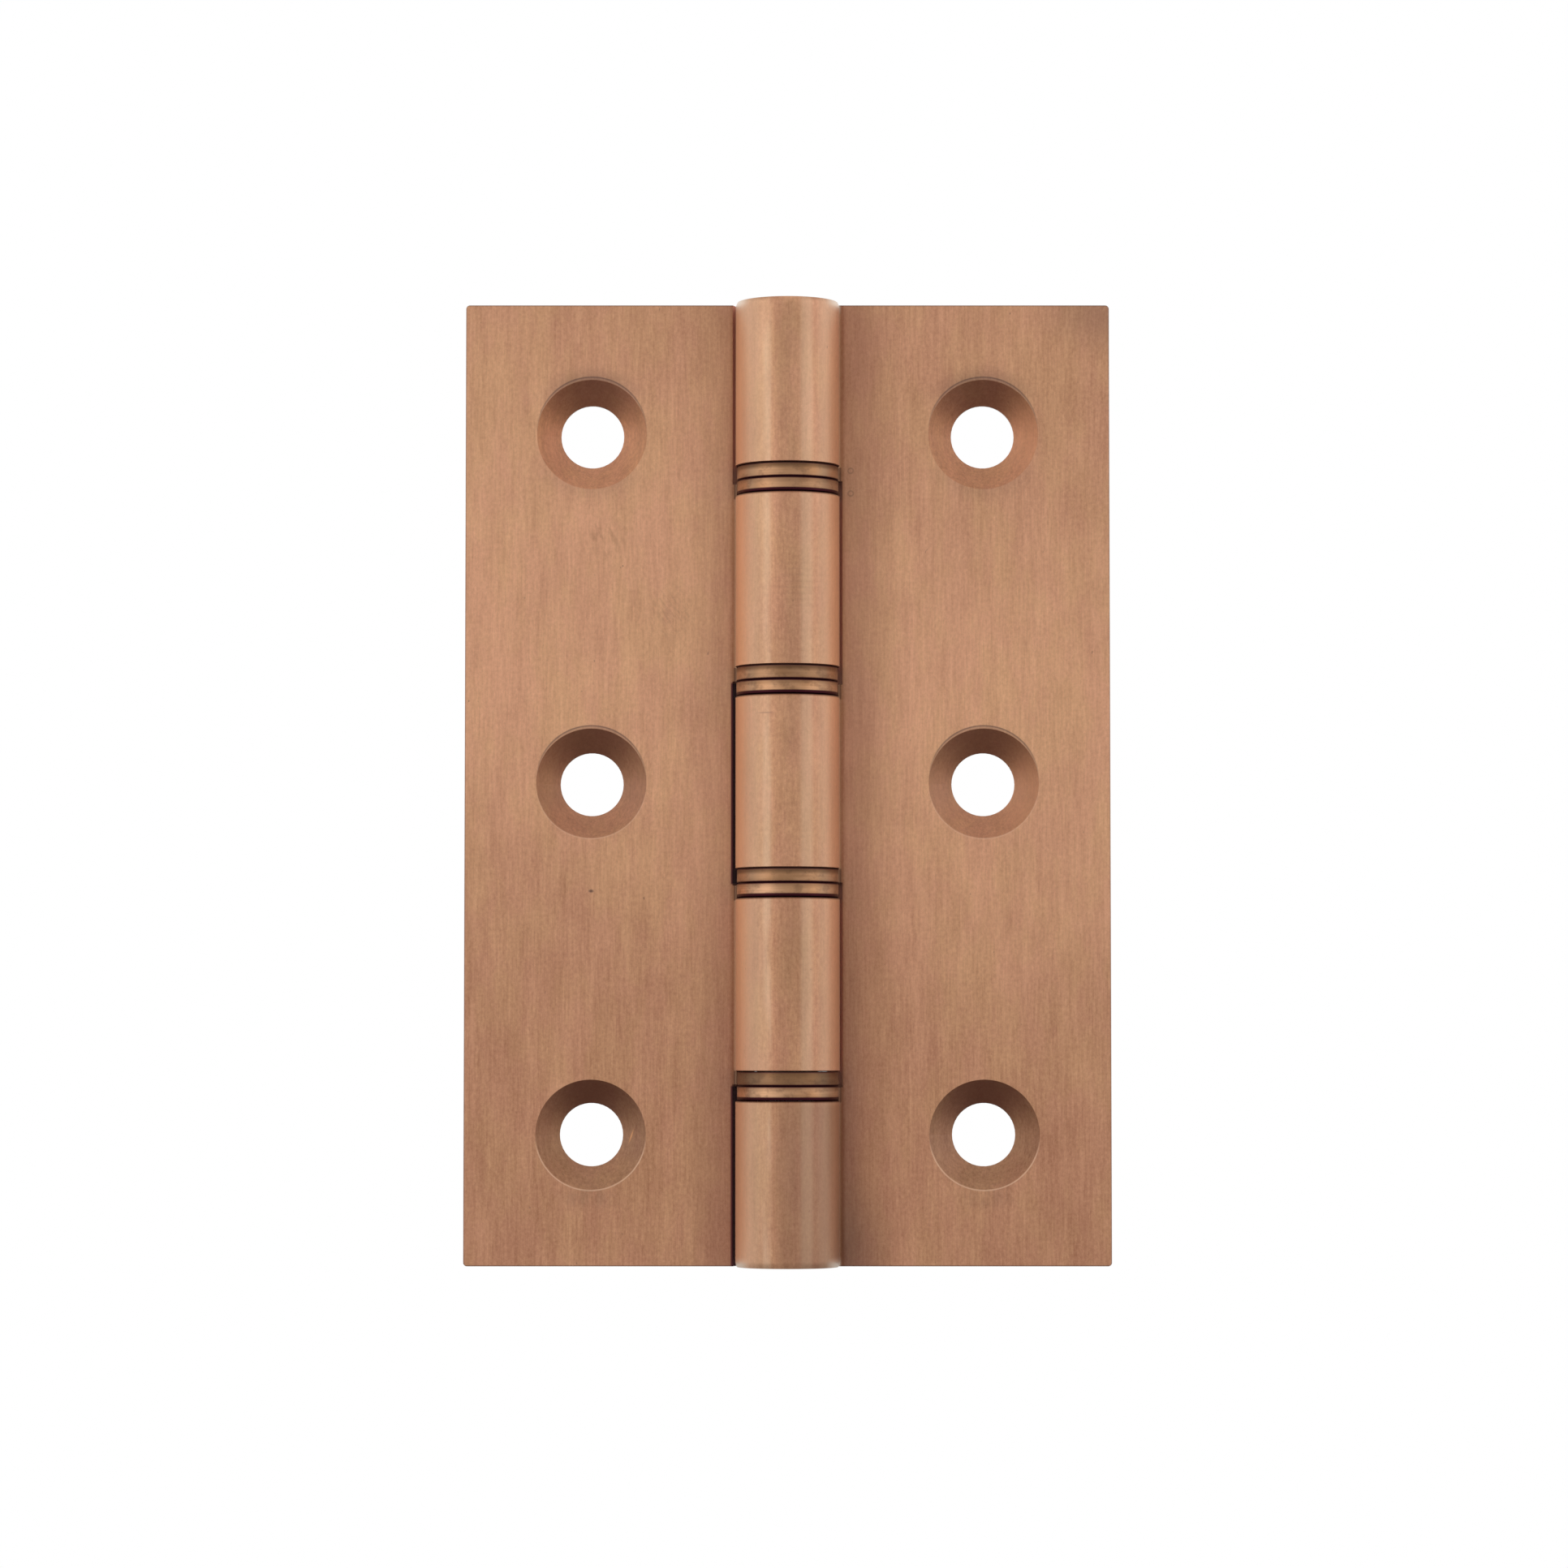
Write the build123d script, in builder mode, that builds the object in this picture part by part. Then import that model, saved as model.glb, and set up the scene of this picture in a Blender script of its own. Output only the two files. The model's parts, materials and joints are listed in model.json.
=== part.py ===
from build123d import *
import os

os.makedirs("parts", exist_ok=True)

# A washered butt hinge, opened flat, in millimetres.
# Z runs up the pin, X across the leaves, and -Y is the front, where the barrel and countersinks show.
# The origin is on the pin's axis at half height.

# Leaves
leaf_height = 76.0
open_width = 51.0
leaf_thickness = 2.2
closed_gap = 2.0  # between the two front faces when the hinge is shut
leaf_corner = 0.3  # corner radius seen from the front
leaf_rim = 0.08  # broken edge round both faces

# Barrel and pin
knuckle_count = 5
end_knuckle = 13.0  # metal length of the top and bottom knuckles
barrel_diameter = 8.2
root_fillet = 0.12  # where the plate runs into the barrel
root_bury = 0.5  # how deep the plate's root reaches into the barrel
buffed_length = 0.5  # how far the barrel's two ends are rounded off, along the pin
buffed_depth = 0.12  # the same, towards the pin
pin_diameter = 4.8
pin_clearance = 0.05  # radial, pin to knuckle
pin_flare = 0.4  # how far the riveted pin ends spread, and how deep

# Washers, two in each joint between knuckles
washer_thickness = 1.08
washer_inset = 0.1  # how far the washer's rim lies inside the barrel's
washer_clearance = 0.1  # radial, washer to pin
washer_edge = 0.06  # chamfer round the washer's rim
gap_above = 0.05  # knuckle to upper washer
gap_between = 0.05  # upper washer to lower washer
gap_below = 0.06  # lower washer to knuckle

# Slots and washer seats milled into the leaves
slot_clearance = 0.36  # barrel to the hollow slot in the other leaf
tooth_clearance = 0.12  # joint's middle plane to the end of each tooth
seat_clearance = 0.12  # washer's rim to its seat
knuckle_edge = 0.06  # chamfer that the seat cutter leaves on the knuckle

# Screw holes
screw_hole = 5.0
screw_head = 8.7
screw_angle = 90
screw_count = 3
screw_pitch = 27.7
screw_edge = 10.0  # hole's centre to the leaf's outer edge

# Sizes that follow
half_height = leaf_height / 2
outer_edge = open_width / 2
leaf_front = closed_gap / 2
leaf_back = leaf_front + leaf_thickness
barrel_radius = barrel_diameter / 2
root_share = barrel_radius / (barrel_radius + root_fillet)
root_start = (leaf_front - root_fillet) * root_share  # where the front fillet leaves the barrel
root_end = max(leaf_back, (leaf_back + root_fillet) * root_share)  # where the back one does
pin_radius = pin_diameter / 2
bore_radius = pin_radius + pin_clearance
washer_radius = barrel_radius - washer_inset
washer_bore = pin_radius + washer_clearance
washer_zone = gap_above + gap_between + gap_below + 2 * washer_thickness
slot_radius = barrel_radius + slot_clearance
seat_radius = washer_radius + seat_clearance
screw_line = outer_edge - screw_edge

# The barrel from the top down: the middle plane of each joint, between the two ends
joint_count = knuckle_count - 1
inner_metal = leaf_height - 2 * end_knuckle - joint_count * washer_zone
joint_step = inner_metal / (knuckle_count - 2) + washer_zone
first_joint = half_height - end_knuckle - washer_zone / 2
joint_levels = [first_joint - index * joint_step for index in range(joint_count)]
levels = [half_height, *joint_levels, -half_height]


def build_leaf(label, side, slotted):
    """One solid drawn leaf, on the +X side of the pin where side is 1 and on the -X side where it is -1.

    slotted counts the knuckles, from the top, that the other leaf carries.
    """
    outward = Axis.X if side > 0 else -Axis.X
    with BuildPart() as leaf:
        # The drawn plate, with a fillet on each side of its root
        with BuildSketch(Plane.XY.offset(-half_height)) as section:
            Circle(barrel_radius)
            with Locations((side * outer_edge / 2, (leaf_front + leaf_back) / 2)):
                Rectangle(outer_edge, leaf_thickness)
            corners = section.vertices().filter_by(lambda corner: corner.Y > 0)
            fillet(corners.sort_by_distance((0, 0))[:2], root_fillet)
            Circle(barrel_radius - root_bury, mode=Mode.SUBTRACT)
            with Locations((side * outer_edge / 2, (root_start + root_end) / 2)):
                Rectangle(outer_edge, root_end - root_start, mode=Mode.INTERSECT)
        extrude(amount=leaf_height)

        # Its outer corners, then the broken rim of the front and back faces
        fillet(leaf.edges().filter_by(Axis.Y).group_by(outward)[-1], leaf_corner)
        face_edges = leaf.faces().filter_by(Axis.Y).sort_by(SortBy.AREA)[-2:].edges()
        root_lines = face_edges.filter_by(Axis.Z).sort_by(outward)[:2]
        chamfer(face_edges - root_lines, leaf_rim)

        # The barrel, bored for the pin, with flared mouths and buffed ends
        with BuildSketch(Plane.XZ):
            with BuildLine():
                buffed_start = half_height - buffed_length
                side_line = Line((barrel_radius, -buffed_start), (barrel_radius, buffed_start))
                top_end = (barrel_radius - buffed_depth, half_height)
                bottom_end = (barrel_radius - buffed_depth, -half_height)
                TangentArc(side_line @ 1, top_end, tangent=(0, 1))
                TangentArc(side_line @ 0, bottom_end, tangent=(0, -1))
                Polyline(
                    top_end,
                    (bore_radius + pin_flare, half_height),
                    (bore_radius, half_height - pin_flare),
                    (bore_radius, pin_flare - half_height),
                    (bore_radius + pin_flare, -half_height),
                    bottom_end,
                )
            make_face()
        revolve(axis=Axis.Z)

        # Hollow slots that let the other leaf's knuckles in
        for index in slotted:
            top = levels[index] + tooth_clearance
            bottom = levels[index + 1] - tooth_clearance
            with Locations((0, 0, (top + bottom) / 2)):
                Cylinder(slot_radius, top - bottom, mode=Mode.SUBTRACT)

        # Washer seats, cut by a tool that also breaks the knuckle's edge
        edge_reach = seat_radius - barrel_radius + knuckle_edge
        for level in joint_levels:
            top = level + washer_zone / 2
            bottom = level - washer_zone / 2
            with BuildSketch(Plane.XZ):
                with BuildLine():
                    Polyline(
                        (0, bottom),
                        (seat_radius - edge_reach, bottom),
                        (seat_radius, bottom - edge_reach),
                        (seat_radius, top + edge_reach),
                        (seat_radius - edge_reach, top),
                        (0, top),
                        close=True,
                    )
                make_face()
            revolve(axis=Axis.Z, mode=Mode.SUBTRACT)

        # Countersunk screw holes
        hole_plane = Plane.XZ.offset(-leaf_front).shift_origin((side * screw_line, leaf_front, 0))
        with Locations(hole_plane):
            with GridLocations(screw_pitch, screw_pitch, 1, screw_count):
                CounterSinkHole(screw_hole / 2, screw_head / 2, leaf_thickness, screw_angle)
    leaf.part.label = label
    return leaf.part


# The fixed leaf carries the top knuckle and every other one below it
fixed_leaf = build_leaf("fixed_leaf", 1, range(1, knuckle_count, 2))
export_step(fixed_leaf, "parts/fixed_leaf.step")

moving_leaf = build_leaf("moving_leaf", -1, range(0, knuckle_count, 2))
export_step(moving_leaf, "parts/moving_leaf.step")

# The pin, riveted over flush at both ends
with BuildPart() as hinge_pin:
    with BuildSketch(Plane.XZ):
        with BuildLine():
            Polyline(
                (0, half_height),
                (pin_radius + pin_flare, half_height),
                (pin_radius, half_height - pin_flare),
                (pin_radius, pin_flare - half_height),
                (pin_radius + pin_flare, -half_height),
                (0, -half_height),
                close=True,
            )
        make_face()
    revolve(axis=Axis.Z)
hinge_pin.part.label = "hinge_pin"
export_step(hinge_pin.part, "parts/hinge_pin.step")

# The washers, a pair in each joint
upper_floor = washer_zone / 2 - gap_above - washer_thickness
lower_floor = upper_floor - gap_between - washer_thickness
for number, level in enumerate(joint_levels, start=1):
    for position, floor in (("upper", upper_floor), ("lower", lower_floor)):
        with BuildPart() as washer:
            with BuildSketch(Plane.XY.offset(level + floor)):
                Circle(washer_radius)
                Circle(washer_bore, mode=Mode.SUBTRACT)
            extrude(amount=washer_thickness)
            rim = washer.edges().filter_by(GeomType.CIRCLE).group_by(SortBy.RADIUS)[-1]
            chamfer(rim, washer_edge)
        washer.part.label = f"washer_{number}_{position}"
        export_step(washer.part, f"parts/{washer.part.label}.step")
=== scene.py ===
# %% [markdown]
# # A washered butt hinge in satin copper
#
# This lesson dresses a small butt hinge: two leaves, a pin, and eight washers between the knuckles.
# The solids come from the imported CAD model, so every size and joint is already right.
# What is left is what the eye reads as metal: brushing, turning marks, tarnish, and light that
# rolls round the barrel.

# %% Load the hinge
import json
import math

import bmesh
import bpy
from mathutils import Color, Matrix, Vector


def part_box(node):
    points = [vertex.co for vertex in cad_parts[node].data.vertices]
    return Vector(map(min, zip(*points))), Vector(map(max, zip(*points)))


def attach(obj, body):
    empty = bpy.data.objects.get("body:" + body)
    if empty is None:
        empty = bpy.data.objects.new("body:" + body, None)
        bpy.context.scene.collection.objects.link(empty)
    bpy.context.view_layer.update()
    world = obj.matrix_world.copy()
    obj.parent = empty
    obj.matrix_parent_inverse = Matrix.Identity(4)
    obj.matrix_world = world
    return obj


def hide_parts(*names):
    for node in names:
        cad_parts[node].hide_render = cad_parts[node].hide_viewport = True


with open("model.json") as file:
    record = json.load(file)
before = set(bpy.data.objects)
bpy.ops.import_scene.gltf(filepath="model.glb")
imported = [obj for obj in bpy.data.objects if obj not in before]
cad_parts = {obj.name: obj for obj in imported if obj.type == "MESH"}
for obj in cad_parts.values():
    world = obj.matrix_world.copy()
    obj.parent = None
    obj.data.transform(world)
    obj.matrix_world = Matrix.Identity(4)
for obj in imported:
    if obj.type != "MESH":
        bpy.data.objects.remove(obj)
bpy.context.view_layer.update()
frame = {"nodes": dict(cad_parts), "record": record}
nodes = frame["nodes"]
print("pieces:", sorted(nodes))

# %% [markdown]
# ## The places that the finish needs
#
# Marks and painted shade sit on real features: shade is painted beside the barrel, and turning marks
# run round a countersink. Their places could be typed in again, but reading them from the frame keeps
# the finish on the features if the hinge changes. Blender works in metres, and the finishes below are
# written in millimetres, as on a drawing.

# %% Read the places of the features
MM = 0.001
leaf_low, leaf_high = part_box("fixed_leaf")
half_height = leaf_high.z / MM
outer_edge = leaf_high.x / MM
barrel_radius = -leaf_low.y / MM
mounts = {mount["name"]: mount for mount in frame["record"]["mounts"]}
screws = mounts["fixed_leaf_upper_screws"]
screw_line = screws["pos_m"][0] / MM
screw_pitch = screws["dims"]["spacing_y_mm"]
print(f"half height {half_height:.2f}, outer edge {outer_edge:.2f}, barrel radius {barrel_radius:.2f}")
print(f"screws {screw_line:.2f} from the pin, {screw_pitch:.2f} apart")

# %% Measure the faces, countersinks and slots on the mesh
leaf_mesh = nodes["fixed_leaf"].data


def face_level(facing):
    """The Y of the leaf's large flat face that looks to -Y for a facing of -1, and to +Y for 1."""
    faces = [face for face in leaf_mesh.polygons if face.normal.y * facing > 0.999]
    return max(faces, key=lambda face: face.area).center.y / MM


leaf_front = face_level(-1)
leaf_back = face_level(1)
spots = [vertex.co / MM for vertex in leaf_mesh.vertices]
on_front = [spot for spot in spots if abs(spot.y - leaf_front) < 0.001]
hole_centre = Vector((screw_line, leaf_front, 0))
head_radius = min((spot - hole_centre).length for spot in on_front)
slot_edge = max(spot.x for spot in on_front if spot.x < barrel_radius + 0.5)
slot_radius = math.hypot(slot_edge, leaf_front)
print(f"leaf from {leaf_front:.2f} to {leaf_back:.2f}, countersinks {2 * head_radius:.2f} across")
print(f"slots {slot_radius:.2f} from the pin")


# %% Measure the joints between the knuckles
def middle_of(name):
    """The height of a piece's middle."""
    low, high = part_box(name)
    return (low.z + high.z) / 2 / MM


upper = middle_of("washer_1_upper")
lower = middle_of("washer_1_lower")
pair_middle = (upper + lower) / 2
half_pair = (upper - lower) / 2
joint_step = upper - middle_of("washer_2_upper")


def above_nearest_pair(z):
    """How far a wire's height is above the middle of the nearest pair of washers."""
    steps = (z - pair_middle) / joint_step
    return z - pair_middle - joint_step * steps.math("ROUND", steps)


print(f"pairs of washers every {joint_step:.2f}, from {pair_middle:.2f} down")
print(f"each washer {half_pair:.3f} from the middle of its pair")

# %% [markdown]
# ## Sums on sockets
#
# A finish is a long sum: so much of the grain, less where the barrel shades it. Wired by hand that is
# dozens of Math nodes. A small class that wraps a socket lets Python's own operators add them, so the
# sum reads as a sum. One method adds any other node: first its settings, then its sockets.


# %% A socket that Python can do sums with
class Wire:
    """An output socket of a node tree, or the bare tree where socket is None."""

    def __init__(self, tree, socket=None):
        self.tree = tree
        self.socket = socket

    def node(self, kind, settings=None, sockets=None, output=0):
        """Add a node and return one of its outputs; sockets maps names or numbers to values and wires."""
        made = self.tree.nodes.new(kind)
        for name, value in (settings or {}).items():
            setattr(made, name, value)
        for key, value in (sockets or {}).items():
            if isinstance(value, Wire):
                self.tree.links.new(value.socket, made.inputs[key])
            else:
                made.inputs[key].default_value = value
        return Wire(self.tree, made.outputs[output] if made.outputs else None)

    def outputs(self):
        """All the outputs of this wire's node, by name."""
        return {socket.name: Wire(self.tree, socket) for socket in self.socket.node.outputs}

    def math(self, operation, *values):
        return self.node("ShaderNodeMath", {"operation": operation}, dict(enumerate(values)))

    def __add__(self, other):
        return self.math("ADD", self, other)

    def __radd__(self, other):
        return self.math("ADD", other, self)

    def __sub__(self, other):
        return self.math("SUBTRACT", self, other)

    def __rsub__(self, other):
        return self.math("SUBTRACT", other, self)

    def __mul__(self, other):
        return self.math("MULTIPLY", self, other)

    def __rmul__(self, other):
        return self.math("MULTIPLY", other, self)

    def __truediv__(self, other):
        return self.math("DIVIDE", self, other)

    def __rtruediv__(self, other):
        return self.math("DIVIDE", other, self)

    def __abs__(self):
        return self.math("ABSOLUTE", self)

    def root(self):
        return self.math("SQRT", self)

    def most(self, other):
        return self.math("MAXIMUM", self, other)


# %% [markdown]
# Every finish below is a few helpers put together: a soft step from one place to another, a random
# cloud, one colour over another. Smooth steps and noise are enough for most wear, because real marks
# fade at their edges and hardly ever repeat.


# %% Steps, clouds and tints
def ease(value, start, end):
    """0 at start and 1 at end, eased between them; start may be the larger."""
    sockets = {"Value": value, "From Min": start, "From Max": end}
    return value.node("ShaderNodeMapRange", {"interpolation_type": "SMOOTHSTEP"}, sockets)


def band(value, middle, reach, core):
    """1 within core of the middle, eased to 0 at its reach on both sides."""
    return ease(abs(value - middle), reach, core)


def cloud(spot, lumps, detail=2.0, roughness=0.55):
    """Smooth random values round 0.5, with so many lumps to the millimetre along X, Y and Z."""
    stretched = spot.node("ShaderNodeVectorMath", {"operation": "MULTIPLY"}, {0: spot, 1: lumps})
    sockets = {"Vector": stretched, "Scale": 1.0, "Detail": detail, "Roughness": roughness}
    return spot.node("ShaderNodeTexNoise", None, sockets)


def tint(share, under, over, how="MIX"):
    """One colour over another, where share says how much of it shows."""
    settings = {"data_type": "RGBA", "blend_type": how}
    return share.node("ShaderNodeMix", settings, {0: share, 6: under, 7: over}, 2)


def colour(red, green, blue):
    """A colour as an eyedropper gives it, 0 to 255, turned into Blender's linear light."""
    picked = Color((red / 255, green / 255, blue / 255))
    return (*picked.from_srgb_to_scene_linear(), 1.0)


pale_copper = colour(251, 194, 150)
# A brown for smudges, and for painted shade.
smudge_and_shade_brown = colour(84, 54, 40)
joint_maroon = colour(64, 26, 34)
print("pale copper in linear light:", [round(level, 3) for level in pale_copper])


# %% The start and the end of a finish
def empty_tree(owner):
    """The cleared node tree of a new material or world, as a wire to start from."""
    owner.use_nodes = True
    owner.node_tree.nodes.clear()
    return Wire(owner.node_tree)


def start_finish(name):
    """A new material, and a wire that holds each point's place on the piece in millimetres."""
    material = bpy.data.materials.new(name)
    place = empty_tree(material).node("ShaderNodeTexCoord", output="Object")
    spot = place.node("ShaderNodeVectorMath", {"operation": "SCALE"}, {0: place, "Scale": 1 / MM})
    return material, spot


def split(spot):
    """The X, Y and Z of a place, as three wires."""
    return list(spot.node("ShaderNodeSeparateXYZ", None, {0: spot}).outputs().values())


def length(across, along):
    return (across * across + along * along).root()


def end_finish(base, roughness, height, **others):
    """Close a metal finish; height is in micrometres, and others are more sockets of the shader."""
    micrometre = MM * MM
    bump = {"Strength": 1.0, "Distance": micrometre, "Height": height}
    relief = height.node("ShaderNodeBump", None, bump)
    sockets = {"Base Color": base, "Roughness": roughness, "Normal": relief, "Metallic": 1.0}
    sockets.update({name.replace("_", " "): value for name, value in others.items()})
    shader = base.node("ShaderNodeBsdfPrincipled", None, sockets)
    base.node("ShaderNodeOutputMaterial", None, {"Surface": shader})
    print("finish with", len(base.tree.nodes), "nodes")


# %% [markdown]
# ## Satin copper
#
# The leaves are drawn brass, coloured like copper and then brushed along the pin. Brushing leaves
# fine scratches that are long one way and narrow the other, so the grain is noise that is stretched
# along Z. Broader bands show where the belt pressed harder, and tiny pores stay round. An image could
# hold all that, but noise stays sharp at any distance and wraps round the barrel with no seam.


# %% The brushing
def brushed_grain(spot):
    """Fine scratches, broad belt marks and pores, as three wires round 0."""
    scratches = cloud(spot, (6.5, 6.5, 0.4), 4.0, 0.75) - 0.5
    bands = cloud(spot, (1.2, 1.2, 0.12), 3.0, 0.6) - 0.5
    pores = cloud(spot, (4.0, 4.0, 3.0), 3.0, 0.75) - 0.5
    return scratches, bands, pores


def blush(base, spot):
    """Copper that is a little pinker in some streaks and a little more tan in others."""
    pinker = (1.0, 0.955, 0.99, 1.0)
    more_tan = (1.0, 1.01, 0.965, 1.0)
    pink = ease(cloud(spot, (0.35, 0.35, 0.15), 3.0, 0.65), 0.35, 0.65)
    base = tint(pink, base, pinker, "MULTIPLY")
    return tint(1 - pink, base, more_tan, "MULTIPLY")


# %% [markdown]
# Brushing only reaches what the belt can touch. The slots, the ends of the knuckles and the bore keep
# the skin of the colouring bath, and that is why the joints read as dark lines. Which way a face looks
# tells where the belt went: a wall that faces the pin was never brushed. Two slots on the left, and the
# edge of the leaf beside them, are painted almost black as shade, and the seats beside the washers get
# a lighter painted shade.


# %% Where the belt can't reach
def colour_hidden(base, spot, x, z, from_pin):
    """The base colour with the unbrushed metal and the painted shade of slots and seats in it, and a wire
    that is 1 on the unbrushed metal and the seats.
    """
    facing = spot.node("ShaderNodeTexCoord", output="Normal")
    level = spot.node("ShaderNodeVectorMath", {"operation": "MULTIPLY"}, {0: spot, 1: (1, 1, 0)})
    settings = {"operation": "DOT_PRODUCT"}
    outward = spot.node("ShaderNodeVectorMath", settings, {0: facing, 1: level}, "Value") / from_pin
    near_pin = ease(from_pin, slot_radius + 0.3, slot_radius + 0.2)
    faces_pin = near_pin * ease(outward, -0.5, -0.8)
    base = tint(faces_pin, base, colour(212, 146, 120))

    # Painted shade: two slots on the left and the edge of the leaf beside them go almost black.
    middle_row = ease(abs(z), pair_middle - joint_step + 0.1, pair_middle - joint_step - 0.1)
    bottom_row = ease(z, 0.1 - pair_middle, -0.1 - pair_middle)
    black_slots = ease(x, 0.5, -0.5) * middle_row.most(bottom_row)
    slot_edge_shade = band(from_pin, slot_radius + 0.03, 0.13, 0.05)
    base = tint(black_slots * faces_pin.most(slot_edge_shade), base, colour(88, 36, 38))

    up = split(facing)[2]
    in_joint = near_pin * ease(abs(z), half_height - 1.0, half_height - 1.2) * ease(abs(up), 0.4, 0.6)
    base = tint(in_joint, base, joint_maroon)
    base = tint(0.75 * in_joint * ease(up, -0.4, -0.6), base, colour(136, 94, 78))
    half_seat = 1.2
    above_pair = above_nearest_pair(z)
    over_floor = ease(above_pair, -half_seat - 0.16, -half_seat - 0.04)
    under_roof = ease(above_pair, half_seat + 0.04, half_seat - 0.04)
    seat = over_floor * under_roof * ease(from_pin, barrel_radius + 0.32, barrel_radius + 0.2)
    # Painted shade in the seats beside the washers.
    base = tint(0.5 * seat, base, colour(92, 56, 46))
    return base, faces_pin.most(in_joint).most(seat)


# %% [markdown]
# The photograph also shows one-off marks: a smudge in a corner, a dent, a thumb print. Each is an oval
# with a soft edge, so one helper makes them all. A mark is given by its centre and its reach along X
# and Z, and noise that is turned and stretched fills the oval with strokes.


# %% Soft oval marks
def blot(x, z, centre, reach):
    """1 in the middle of an oval and 0 outside it."""
    across = (x - centre[0]) / reach[0]
    along = (z - centre[1]) / reach[1]
    return ease(length(across, along), 1.0, 0.15)


def nick(x, z, centre):
    """1 on a small ring, such as the end of a tube leaves when it is knocked against the leaf."""
    ring_radius = 0.2
    return band(length(x - centre[0], z - centre[1]), ring_radius, 0.1, 0.02)


def strokes(spot, slant, lumps, start, end):
    """1 on short strokes that lean from upright by so many degrees."""
    turn = {"Vector": spot, "Angle": math.radians(slant)}
    turned = spot.node("ShaderNodeVectorRotate", {"rotation_type": "Y_AXIS"}, turn)
    return ease(cloud(turned, lumps), start, end)


# %% Dark marks on the leaves
def leaf_marks(spot, x, z):
    """How dark the smudges, the dents, the fine scratches and the painted shade at the foot of the barrel
    make each point.
    """
    corner = blot(x, z, (outer_edge, half_height), (7.0, 5.0))
    # Painted shade on the right leaf beside the foot of the barrel.
    foot_shade = blot(x, z, (barrel_radius + 0.6, -half_height), (4.6, 9.0))
    dent = blot(x, z, (-screw_line, -8.5), (0.3, 0.2))
    nicks = nick(x, z, (5.0, 24.8)).most(nick(x, z, (5.0, 23.0)))
    scuff = blot(x, z, (-9.2, 13.4), (2.6, 3.4)) * strokes(spot, 35, (4.5, 1.0, 0.7), 0.45, 0.65)
    soft = (0.3 * corner).most(0.34 * foot_shade).most(0.14 * scuff)
    return soft.most(0.8 * dent).most(0.32 * nicks)


def thumb_print(base, spot, x, z, in_front):
    """The base colour with the short brown dashes that a thumb left."""
    dashes = strokes(spot, 20, (2.0, 1.0, 0.9), 0.45, 0.65) * blot(x, z, (-14.4, 19.4), (2.8, 2.2))
    return tint(0.24 * in_front * dashes, base, colour(122, 74, 30))


# %% [markdown]
# A thin dark line frames the front of each leaf along its edges. It could be painted as a mask, but
# the leaf's outline is known, so the distance to it is enough.


# %% The broken edges of the leaves
def colour_edges(base, x, y, z, on_plate):
    """The base colour with a dark line along the front of the leaf's edges."""
    line_start, line_full = 0.12, 0.04
    ends = ease(abs(z), half_height - line_start, half_height - line_full)
    sides = ease(abs(x), outer_edge - line_start, outer_edge - line_full)
    near_front = ease(y, leaf_front + 0.2, leaf_front + 0.1)
    return tint(0.5 * on_plate * near_front * ends.most(sides), base, colour(92, 56, 52))


# %% [markdown]
# A countersink's cone tilts its wall every way. The wall at the top faces down, away from the lamps, and
# it is painted dark as shade. The middle and lower holes are painted darker all round as shade, and the
# lowest are the greyest, while the outer wall of each cone on the right leaf is painted paler, as light
# from the left. Each hole could have marks of its own, but one sum serves all six: it rounds a point's
# height to the nearest row of screws, and measures from there.


# %% The cones of the countersinks
def round_screw(x, z):
    """How far a point is from the nearest screw's axis, outward and upward, as two wires."""
    steps = z / screw_pitch
    return abs(x) - screw_line, z - screw_pitch * steps.math("ROUND", steps)


def colour_cones(base, x, z, in_front):
    """The base colour with the cones in it, and three wires.

    They say where the cones are, where painted shade makes them dark, and how far the nearest screw's
    axis is.
    """
    across, above = round_screw(x, z)
    from_screw = length(across, above)
    in_cone = in_front * ease(from_screw, head_radius + 0.03, head_radius - 0.03)
    top_row = ease(z, 10.0, 25.0)
    facing_down = ease(above / from_screw, 0.2 * top_row - 0.05, 1.15)
    warmer = (1.0, 0.96, 0.92, 1.0)
    base = tint(in_cone, base, warmer, "MULTIPLY")
    greyer = (1.02, 1.14, 1.18, 1.0)
    bottom_row = ease(z, -5.0, -28.0)
    base = tint(in_cone * bottom_row, base, greyer, "MULTIPLY")
    facing_up = ease(above / from_screw, -0.2, -1.0)
    # Painted shade: the middle and lower rows darker all round.
    row_shade = 0.12 + 0.24 * ease(z, 27.0, -4.0) - 0.07 * ease(z, -15.0, -24.0)
    base = tint(in_cone * row_shade * (1 - 0.6 * facing_down - 0.5 * facing_up), base, colour(78, 56, 44))
    # Painted shade on the top wall, which faces down.
    dark = in_cone * (0.88 - 0.15 * ease(z, -20.0, 26.0)) * facing_down
    base = tint(dark, base, colour(91, 33, 8))
    # Painted light: the outer wall of each cone on the right leaf, lit from the left.
    right_wall = ease(x, 0.0, 1.0) * ease(across / from_screw, 0.2, 0.9) * (1 - facing_down)
    base = tint(0.3 * in_cone * right_wall * ease(z, -30.0, 10.0), base, pale_copper)
    bare = blot(x - 0.35 * z, z, (-2.6, -27.8), (0.1, 0.8))
    return tint(0.6 * bare, base, colour(255, 190, 130)), in_cone, dark, from_screw
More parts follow.
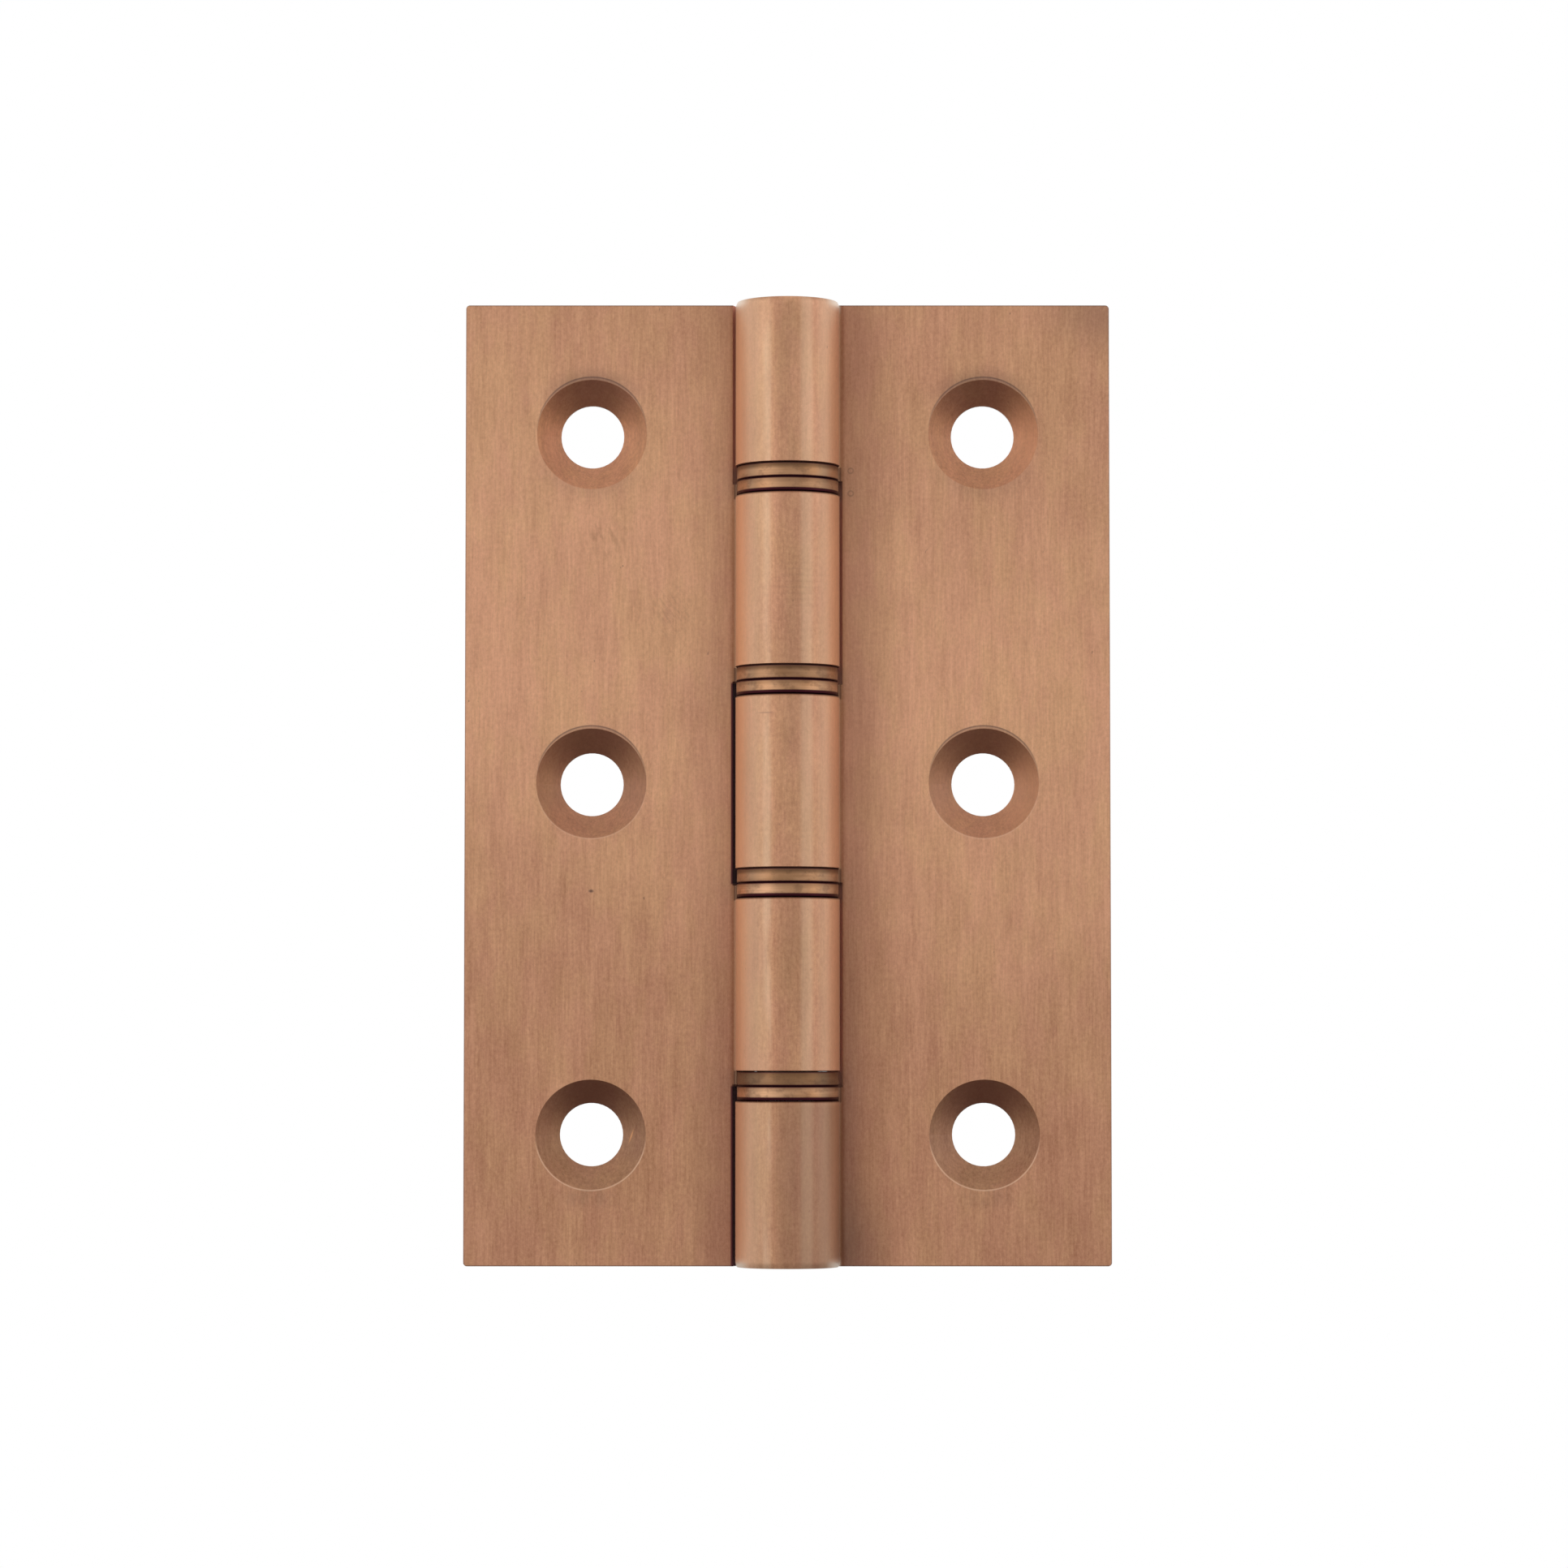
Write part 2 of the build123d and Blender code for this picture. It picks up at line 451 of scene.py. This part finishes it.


# %% [markdown]
# Brushing upwards dragged the top edge of the upper four cones into a lip: a crescent between the cone's
# rim and the same circle moved up a little, painted darker as the shade on a lip that faces down, with a
# dark line round it. Along the bottom of the lower holes the rim was left sharp, with a painted highlight
# on it, and what was rubbed off lies below the lowest as a smudge.


# %% The rims of the countersinks
def colour_rims(base, spot, x, z, in_cone, from_screw, in_front):
    """The base colour with the lips, the painted highlights on the rims, the darker leaf round the top
    holes and the smudges below the lowest.
    """
    across, above = round_screw(x, z)
    outside = in_front * (1 - in_cone)
    lip_rise = 0.22
    from_lip = length(across, above - lip_rise)
    has_lip = in_front * ease(z, -22.0, -10.0)
    lip = (1 - in_cone) * ease(from_lip, head_radius + 0.02, head_radius - 0.02) * has_lip
    # Painted shade on the lip, which faces down.
    base = tint(0.4 * lip, base, colour(130, 94, 80))
    lip_line = band(from_lip, head_radius, 0.09, 0.02) * ease(above, 0.5, 4.0) * has_lip
    base = tint(0.55 * lip_line, base, colour(70, 44, 40))
    round_rim = ease(from_screw, head_radius + 1.5, head_radius)
    above_or_below = 0.3 * ease(above, 2.0, 4.8) + 0.13 * ease(above, -2.0, -4.0)
    top_row = ease(z, 10.0, 20.0)
    base = tint(outside * round_rim * above_or_below * top_row, base, smudge_and_shade_brown)
    # Painted highlight along the sharp bottom rims of the lower holes.
    rim_highlight = band(from_screw, head_radius, 0.08, 0.03) * ease(above, 0.0, -2.0)
    lower_rows = ease(z, 14.0, -20.0)
    base = tint(0.55 * in_front * rim_highlight * lower_rows, base, colour(255, 214, 180))
    streaks = strokes(spot, 0, (3.5, 3.5, 0.5), 0.25, 0.7)
    rubbings = blot(across, above, (0.2, -4.9), (3.0, 1.3)) * streaks
    bottom_row = ease(z, -20.0, -24.0)
    return tint(0.26 * outside * rubbings * bottom_row, base, smudge_and_shade_brown)


# %% [markdown]
# The barrel turns away from the belt, so its grain is fainter. Its sides are painted pale as a
# reflection, palest at the left edge. A tan tint lies on the left highlight band, a pale stripe of
# painted highlight runs down the right with a faint band of painted shade beside it, and a thin painted
# highlight runs down the left. Olive stains gather in the middle and darken it as painted shade, and half
# of the lowest knuckle is darker. The rounded corners at its two ends carry a painted highlight, nearly
# white.


# %% Colour of the barrel
def colour_barrel(plain, spot, x, z, on_barrel):
    """The plain base colour with the painted highlights, reflection and shade, the waves and the stains
    of the barrel in it.
    """
    # Painted reflection: the sides paler, the left edge most.
    side = ease(abs(x), barrel_radius - 2.1, barrel_radius - 0.8)
    left_edge = ease(x, 1.0 - barrel_radius, 0.3 - barrel_radius)
    base = tint(0.46 * side + 0.16 * left_edge, plain, colour(238, 203, 168))
    # A tan tint on the left highlight band.
    tan = band(x, -2.0, 1.0, 0.3)
    base = tint(0.16 * tan, base, colour(190, 182, 146))
    # Painted highlight: the pale stripe down the right.
    pale = band(x, 1.5, 0.7, 0.2)
    base = tint(0.3 * pale, base, colour(240, 208, 172))
    # Painted shade in a faint band beside it.
    brown = band(x, 2.4, 0.7, 0.2)
    base = tint(0.08 * brown, base, smudge_and_shade_brown)
    # Olive stains in the middle, which also darken it as painted shade.
    olive = ease(cloud(spot, (0.6, 0.6, 0.12)), 0.4, 0.7) * ease(abs(x), 3.0, 0.5)
    base = tint(0.2 * olive, base, colour(150, 112, 70))
    waves = z.math("SINE", z * 13.0) * blot(x, z, (0.9, 15.5), (2.4, 3.2))
    base = tint(0.1 * waves.most(0), base, colour(130, 92, 62))
    # Painted highlight: a thin stripe down the left.
    stripe = band(x, -1.6, 0.5, 0.1) * ease(cloud(spot, (0.8, 0.8, 0.1)), 0.35, 0.6)
    base = tint(0.15 * stripe, base, colour(255, 230, 200))
    tick = blot(x, z, (-1.7, 5.3), (0.9, 0.1))
    base = tint(0.3 * tick, base, smudge_and_shade_brown)
    darker_end = ease(z, -24.4, -25.6) * ease(x, -3.0, 2.5)
    base = tint(0.42 * darker_end, base, colour(114, 75, 54))
    # Painted highlight on the rounded corners at both ends.
    corner = ease(abs(x), barrel_radius - 1.2, barrel_radius - 0.3)
    corner_highlight = corner * ease(abs(z), half_height - 0.9, half_height - 0.1)
    base = tint(0.75 * corner_highlight, base, colour(255, 238, 220))
    return tint(on_barrel, plain, base)


# %% [markdown]
# Copper that faces copper deepens: light that bounces between the barrel and the leaf picks up its red
# twice. The renderer gives some of that, and painted shade does the rest, so the leaf is tinted a deeper
# red towards the barrel, darker on the right and low on the left, with a thin dark root line of painted
# shade where the two meet.


# %% Colour beside the barrel
def colour_roots(base, x, z, from_pin, on_plate):
    """The base colour with the painted shade beside the barrel, and a wire that is 1 on the root line."""
    # Painted shade and painted reflected red, deepening towards the barrel.
    left = ease(x, -barrel_radius - 5.0, 1.5 - barrel_radius)
    right = ease(x, barrel_radius + 6.0, barrel_radius + 0.3)
    base = tint(0.42 * on_plate * left * right, base, colour(124, 52, 26))
    # Painted shade: a thin dark line where the leaf meets the barrel.
    inner = ease(from_pin, barrel_radius + 0.02, barrel_radius + 0.1)
    outer = ease(from_pin, barrel_radius + 0.7, barrel_radius + 0.2)
    root = inner * outer
    # More painted shade on the right beside the barrel and low on the left.
    right_shade = ease(x, 0.0, 1.0) * ease(x, barrel_radius + 2.4, barrel_radius) * ease(z, 2.0, -30.0)
    on_left = ease(x, -barrel_radius - 6.0, -barrel_radius) * ease(x, 0.0, -1.0)
    left_foot = on_left * ease(z, -5.0, -30.0)
    base = tint(on_plate * (0.3 * right_shade + 0.12 * left_foot), base, smudge_and_shade_brown)
    return tint(0.4 * root, base, colour(92, 50, 36)), root


# %% [markdown]
# Now the parts come together. The grain, some cloudy patches, a painted pool of light across the
# leaves, painted light on the left of the barrel and painted shade towards the bottom make one tone,
# which runs from dull to pale copper, and each feature is then coloured over the one before. Each could
# be a material of its own, but a leaf is one solid, and masks in one material keep the borders soft. A
# clear lacquer lies on top. It is the shader's coat, missing in the joints and along the roots, and
# thinner where the cones are painted dark. The scratches that tint the copper also roughen and raise
# it, so that colour and gloss agree.


# %% The copper finish
def satin_copper():
    """The finish of both leaves."""
    material, spot = start_finish("satin_copper")
    x, y, z = split(spot)
    from_pin = length(x, y)
    on_plate = ease(from_pin, barrel_radius + 0.1, barrel_radius + 0.35)
    on_barrel = 1 - on_plate
    in_front = ease(y, leaf_back - 0.05, leaf_back - 0.15)

    scratches, bands, pores = brushed_grain(spot)
    grain = (0.78 - 0.22 * on_barrel) * scratches + 0.4 * bands + 0.75 * pores
    patches = cloud(spot, (0.11, 0.11, 0.07), 2.0, 0.5) - 0.5
    blotches = cloud(spot, (0.45, 0.45, 0.3), 3.0, 0.6) - 0.5
    # A painted pool of light in a broad slanting band across the leaves.
    pool_of_light = on_plate * band(z + 0.25 * x, 8.0, 34.0, 4.0)
    mottling_and_pool = 0.28 * (blotches + patches) + 0.24 * pool_of_light
    # Painted light on the left of the barrel, and painted shade towards the bottom.
    lit_side = on_barrel * ease(x, -2.6, -3.6) * ease(z, 20.0, -25.0)
    low_down = ease(z, 25.0, -35.0)
    tone = 0.41 + grain + mottling_and_pool + 0.25 * lit_side - 0.12 * low_down

    base = blush(tint(tone, colour(177, 119, 83), pale_copper), spot)
    base = colour_barrel(base, spot, x, z, on_barrel)
    base, root = colour_roots(base, x, z, from_pin, on_plate)
    # Smudges, dents and scratches, and the painted shade at the foot of the barrel.
    base = tint(on_plate * in_front * leaf_marks(spot, x, z), base, smudge_and_shade_brown)
    base = thumb_print(base, spot, x, z, in_front)
    base = colour_edges(base, x, y, z, on_plate)
    base, in_cone, dark, from_screw = colour_cones(base, x, z, in_front)
    base = colour_rims(base, spot, x, z, in_cone, from_screw, in_front)
    specks = ease(cloud(spot, (2.8, 2.8, 1.6), 1.0), 0.78, 0.84)
    base = tint(0.4 * specks, base, smudge_and_shade_brown)
    base, hidden = colour_hidden(base, spot, x, z, from_pin)

    roughness = 0.5 + 0.15 * in_cone + 0.12 * scratches + 0.08 * patches + 0.2 * hidden
    rings = from_screw.node("ShaderNodeTexNoise", {"noise_dimensions": "1D"}, {"W": from_screw * 9.0})
    height = (1 - in_cone) * (4.0 * scratches + 3.0 * bands) + in_cone * 5.0 * rings
    coat = 1 - hidden.most(root).most(0.6 * dark)
    end_finish(base, roughness, height, Metallic=0.95, Coat_Weight=coat, Coat_Roughness=0.45)
    return material


# %% Dress the leaves
copper = satin_copper()
for name in ("fixed_leaf", "moving_leaf"):
    nodes[name].material_slots[0].material = copper
    print(name, "has", len(nodes[name].data.polygons), "faces")

# %% [markdown]
# ## The pin
#
# The pin is plain steel, and only its two riveted ends show. Hammering spreads such an end and then a
# file dresses it flush, so it has a dull face with rings from the rivet tool and a darker rim. Its CAD
# solid already has that shape, so it only needs a finish.


# %% The steel finish
def node_radius(name, choose):
    """A node's smallest or largest distance from the pin's axis, in metres."""
    return choose(math.hypot(vertex.co.x, vertex.co.y) for vertex in nodes[name].data.vertices)


def riveted_steel():
    """The finish of the pin, seen on its two ends."""
    material, spot = start_finish("riveted_steel")
    x, y, _ = split(spot)
    from_pin = length(x, y)
    rings = from_pin.node("ShaderNodeTexNoise", {"noise_dimensions": "1D"}, {"W": from_pin * 5.0})
    stains = cloud(spot, (0.8, 0.8, 0.8), 3.0)
    base = tint(stains, colour(120, 112, 106), colour(196, 188, 180))
    end_radius = node_radius("hinge_pin", max) / MM
    rim = ease(from_pin, end_radius - 0.6, end_radius)
    base = tint(0.6 * rim, base, colour(96, 74, 60))
    end_finish(base, 0.34 + 0.2 * (stains - 0.5), 8.0 * rings + 10.0 * stains)
    return material


nodes["hinge_pin"].material_slots[0].material = riveted_steel()

# %% [markdown]
# ## Bronze washers
#
# Each joint between two knuckles holds a pair of loose washers, punched from bronze strip and tumbled
# until their edges are round. Spots of grease and dirt make them browner than the barrel. The upper one
# of each pair is darker than the lower, the upper one of the lowest pair most of all. Each is painted
# darkest at its top edge as shade, with paler, greyer sides as a painted reflection, and the lower
# washers of the two lower pairs are painted paler on the left as light. The line below a pair is the
# widest and blackest. Eight materials could say that. One that asks how high a point is in its pair
# says it for all of them.


# %% The bronze finish
# A brown for grease spots, and for painted shade.
grease_and_shade_brown = colour(84, 58, 40)


def tumbled_bronze():
    """The finish of all eight washers."""
    material, spot = start_finish("tumbled_bronze")
    x, _, z = split(spot)
    above = above_nearest_pair(z)
    is_upper = ease(above, -0.01, 0.01)
    up_washer = above + half_pair - 2 * half_pair * is_upper
    stains = ease(cloud(spot, (0.35, 0.35, 0.8), 2.0), 0.3, 0.7)
    turning = cloud(spot, (0.3, 0.3, 14.0), 2.0)
    base = tint(stains, colour(184, 136, 98), colour(220, 170, 130))
    base = tint(0.22 * is_upper, base, colour(92, 68, 44))
    # Painted reflection: the sides paler and greyer.
    base = tint(0.68 * ease(abs(x), 2.0, 3.6), base, colour(184, 160, 134))
    lowest_upper_darker = is_upper * ease(z, -14.0, -20.0) * (0.34 + 0.25 * ease(abs(x), 1.0, 2.6))
    base = tint(lowest_upper_darker, base, colour(84, 64, 46))
    first_lower = blot(x, z, (1.6, pair_middle - half_pair), (4.4, 1.0))
    second_upper = blot(x, z, (1.2, pair_middle - joint_step + half_pair), (4.4, 1.0))
    base = tint(0.28 * first_lower.most(second_upper), base, grease_and_shade_brown)
    # Painted light: the lower washers of the lower pairs paler on the left.
    paler = (1 - is_upper) * ease(z, -2.0, -7.0) * ease(x, 2.5, -2.0)
    base = tint(0.35 * paler, base, colour(240, 192, 156))
    base = tint(0.2 * ease(turning, 0.45, 0.75), base, colour(110, 76, 52))
    grease = ease(cloud(spot, (1.1, 1.1, 1.5), 3.0, 0.65), 0.48, 0.66)
    base = tint(0.3 * grease, base, colour(84, 62, 54))
    # Painted shade: each washer darkens towards its top edge, the upper ones of the upper pairs more.
    base = tint(0.45 * ease(up_washer, -0.05, 0.45), base, grease_and_shade_brown)
    shaded_top = is_upper * ease(up_washer, 0.05, 0.35) * ease(z, -20.0, -14.0)
    base = tint(0.5 * shaded_top, base, grease_and_shade_brown)

    edge = ease(abs(up_washer), half_pair - 0.17, half_pair - 0.07)
    under_pair = (1 - is_upper) * ease(up_washer, 0.33 - half_pair, 0.21 - half_pair)
    base = tint(edge.most(under_pair), base, joint_maroon)
    over_pair = is_upper * edge * ease(up_washer, 0.0, 0.1)
    base = tint(0.6 * over_pair, base, colour(120, 82, 68))
    end_finish(base, 0.42 + 0.15 * (stains - 0.5), 5.0 * turning + 4.0 * stains)
    return material


bronze = tumbled_bronze()

# %% [markdown]
# The washers repeat eight times, so Geometry Nodes make them: a rounded profile is swept round a
# circle, and one ring is set on each point of a small mesh of places. The tree ends in real meshes with
# their material, because instances would be lost when the model is written out.


# %% The tree that makes washers
def washer_tree(material):
    """Rings with rounded edges, one on each point of the mesh that comes in."""
    tree = bpy.data.node_groups.new("washers_on_points", "GeometryNodeTree")
    tree.interface.new_socket("Places", in_out="INPUT", socket_type="NodeSocketGeometry")
    for name in ("Rim Radius", "Bore Radius", "Thickness", "Edge Radius", "Slack"):
        tree.interface.new_socket(name, in_out="INPUT", socket_type="NodeSocketFloat")
    tree.interface.new_socket("Washers", in_out="OUTPUT", socket_type="NodeSocketGeometry")
    wire = Wire(tree)
    sizes = wire.node("NodeGroupInput").outputs()
    ring = washer_ring(wire, sizes)
    slack = sizes["Slack"]
    low = wire.node("ShaderNodeCombineXYZ", None, {"X": 0 - slack, "Y": 0 - slack})
    high = wire.node("ShaderNodeCombineXYZ", None, {"X": slack, "Y": slack})
    limits = {0: low, 1: high, "Seed": 4}
    drift = wire.node("FunctionNodeRandomValue", {"data_type": "FLOAT_VECTOR"}, limits)
    loose = wire.node("GeometryNodeSetPosition", None, {"Geometry": sizes["Places"], "Offset": drift})
    rings = wire.node("GeometryNodeInstanceOnPoints", None, {"Points": loose, "Instance": ring})
    real = wire.node("GeometryNodeRealizeInstances", None, {"Geometry": rings})
    smooth = wire.node("GeometryNodeSetShadeSmooth", None, {"Geometry": real})
    done = wire.node("GeometryNodeSetMaterial", None, {"Geometry": smooth, "Material": material})
    wire.node("NodeGroupOutput", None, {"Washers": done})
    return tree


def washer_ring(wire, sizes):
    """One ring: a rectangle with rounded corners, swept round a circle."""
    middle = (sizes["Rim Radius"] + sizes["Bore Radius"]) * 0.5
    path = {"Resolution": 96, "Radius": middle}
    circle = wire.node("GeometryNodeCurvePrimitiveCircle", {"mode": "RADIUS"}, path)
    across = {"Width": sizes["Rim Radius"] - sizes["Bore Radius"], "Height": sizes["Thickness"]}
    section = wire.node("GeometryNodeCurvePrimitiveQuadrilateral", {"mode": "RECTANGLE"}, across)
    corners = {"Curve": section, "Radius": sizes["Edge Radius"], "Count": 5}
    rounded = wire.node("GeometryNodeFilletCurve", {"mode": "POLY"}, corners)
    return wire.node("GeometryNodeCurveToMesh", None, {"Curve": circle, "Profile Curve": rounded})


tree = washer_tree(bronze)
print("washer tree with", len(tree.nodes), "nodes")

# %% [markdown]
# The points come from the boxes of the CAD washers. One object is made for each side of the hinge,
# because the two washers of a pair turn with different leaves. The rings are a hair thicker than the
# CAD washers, which takes up some of the play in the joints.

# %% The sizes of a washer
sample_low, sample_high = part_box("washer_1_upper")
play_taken_up = 0.035 * MM
washer_sizes = {
    "Rim Radius": node_radius("washer_1_upper", max),
    "Bore Radius": node_radius("washer_1_upper", min),
    "Thickness": sample_high.z - sample_low.z + play_taken_up,
    "Edge Radius": 0.1 * MM,
    "Slack": 0.04 * MM,
}
print({name: round(size / MM, 3) for name, size in washer_sizes.items()})


# %% Set a ring in the place of each CAD washer
def add_object(name, data):
    """A new object with this mesh, lamp or camera, in the scene."""
    made = bpy.data.objects.new(name, data)
    bpy.context.scene.collection.objects.link(made)
    return made


def ring_mesh(name, centres):
    """A plain mesh of rings round these centres."""
    places = bpy.data.meshes.new(name + "_places")
    places.from_pydata(centres, [], [])
    holder = add_object(name + "_places", places)
    modifier = holder.modifiers.new("washers", "NODES")
    modifier.node_group = tree
    for item in tree.interface.items_tree:
        if item.name in washer_sizes:
            modifier[item.identifier] = washer_sizes[item.name]
    graph = bpy.context.evaluated_depsgraph_get()
    mesh = bpy.data.meshes.new_from_object(holder.evaluated_get(graph), depsgraph=graph)
    bpy.data.objects.remove(holder)
    mesh.materials.clear()
    mesh.materials.append(bronze)
    return mesh


def make_washers(name, body, members):
    """One object with the washers of one side of the hinge."""
    centres = [sum(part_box(member), Vector()) / 2 for member in members]
    washers = add_object(name, ring_mesh(name, centres))
    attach(washers, body)
    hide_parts(*members)
    print(name, "has", len(washers.data.polygons), "faces and stands for", members)


for body, members in frame["record"]["behaviour"]["bodies"].items():
    washer_names = [member for member in members if member.startswith("washer")]
    make_washers(body.replace("side", "washers"), body, washer_names)

# %% [markdown]
# ## The studio
#
# The hinge hangs upright in front of white, as its screws would hold it. The world is plain white to
# the camera and in reflections, and dimmer as a light, so that the metal keeps its own colour. Behind
# the camera, overhead and below, the room is darker in reflections, which gives the barrel its dark
# middle.


# %% White surroundings
def seen_ray(rays):
    """1 for a ray that shows a place, straight or in a reflection, and 0 for one that only lights."""
    return rays["Is Camera Ray"].most(rays["Is Glossy Ray"]).most(rays["Is Transmission Ray"])


world = bpy.data.worlds.new("white_room")
bpy.context.scene.world = world
room = empty_tree(world)
rays = room.node("ShaderNodeLightPath").outputs()
seen = seen_ray(rays)
toward = split(room.node("ShaderNodeTexCoord", output="Generated"))
behind_camera = ease(0 - toward[1], 0.5, 0.95)
overhead = ease(toward[2], 0.15, 0.8)
underfoot = ease(toward[2], 0.12, -0.4)
shade = rays["Is Glossy Ray"] * (0.14 * behind_camera + 0.4 * overhead + 0.9 * underfoot)
ambient = 0.5
strength = ambient + (1 - ambient) * seen - shade
background = room.node("ShaderNodeBackground", None, {"Color": (1, 1, 1, 1), "Strength": strength})
room.node("ShaderNodeOutputWorld", None, {"Surface": background})
print("world with", len(world.node_tree.nodes), "nodes")

# %% [markdown]
# A pale round floor below the hinge takes its shadow. It looks pale to the camera and in reflections,
# and it sends less light back up, so that it doesn't brighten the undersides that the photograph shows
# dark.

# %% The floor
floor_level = -0.11
floor_radius = 0.36
floor_mesh = bpy.data.meshes.new("floor")
drawing = bmesh.new()
bmesh.ops.create_circle(drawing, cap_ends=True, segments=96, radius=floor_radius)
drawing.to_mesh(floor_mesh)
drawing.free()
floor_mesh.transform(Matrix.Translation((0, 0, floor_level)))
floor = add_object("floor", floor_mesh)
print(f"floor {2 * floor_radius:.2f} m across, {-floor_level:.2f} m below the hinge's middle")

# %% Its paint
paint = bpy.data.materials.new("floor_paint")
brush = empty_tree(paint)
floor_seen = seen_ray(brush.node("ShaderNodeLightPath").outputs())
dim_grey = (0.4, 0.4, 0.4, 1)
pale_grey = (0.85, 0.85, 0.85, 1)
matt = {"Base Color": tint(floor_seen, dim_grey, pale_grey), "Roughness": 0.9}
floor_shader = brush.node("ShaderNodeBsdfPrincipled", None, matt)
brush.node("ShaderNodeOutputMaterial", None, {"Surface": floor_shader})
floor_mesh.materials.append(paint)
print("paint with", len(paint.node_tree.nodes), "nodes")

# %% [markdown]
# Two tall soft boxes at the sides draw the light bands down the barrel, and a third one above lights
# the leaves. A lamp's power is worked out from how bright its face should look, so a box can change its
# size and keep its brightness.


# %% Soft boxes
def soft_box(name, place, width, height, radiance):
    """A rectangular lamp that faces the hinge; radiance is how bright its face looks, 1 being white."""
    lamp = bpy.data.lights.new(name, "AREA")
    lamp.shape = "RECTANGLE"
    lamp.size = width
    lamp.size_y = height
    lamp.energy = radiance * math.pi * width * height
    holder = add_object(name, lamp)
    holder.location = place
    holder.rotation_euler = (-Vector(place)).to_track_quat("-Z", "Y").to_euler()
    print(name, f"{lamp.energy:.2f} W")


def around(azimuth, elevation, distance):
    """A place round the hinge: azimuth 0 is behind the camera, and grows to the right."""
    turn = math.radians(azimuth)
    rise = math.radians(elevation)
    level = distance * math.cos(rise)
    return (level * math.sin(turn), -level * math.cos(turn), distance * math.sin(rise))


soft_box("left_box", around(-50, 15, 0.6), width=0.3, height=0.5, radiance=0.9)
soft_box("right_box", around(64, 15, 0.6), width=0.3, height=0.5, radiance=0.6)
soft_box("top_box", around(0, 60, 0.7), width=0.4, height=0.3, radiance=0.8)

# %% [markdown]
# The camera stands a little below the middle of the hinge and looks slightly up, which is why the
# undersides of the upper joints show. Its place, tilt and lens were fitted to the corners and screw
# holes in the photograph.

# %% The camera
tilt_up = 3.009
camera_data = bpy.data.cameras.new("camera")
camera_data.sensor_width = 36.0
camera_data.lens = 116.46
camera = add_object("camera", camera_data)
camera.location = (-0.00028, -0.399, -0.02107)
camera.rotation_euler = (math.radians(90 + tilt_up), 0, 0)
bpy.context.scene.camera = camera
bpy.context.scene.view_settings.view_transform = "Standard"
print(f"camera {-camera.location.y:.3f} m away, field {math.degrees(camera_data.angle):.1f} degrees")
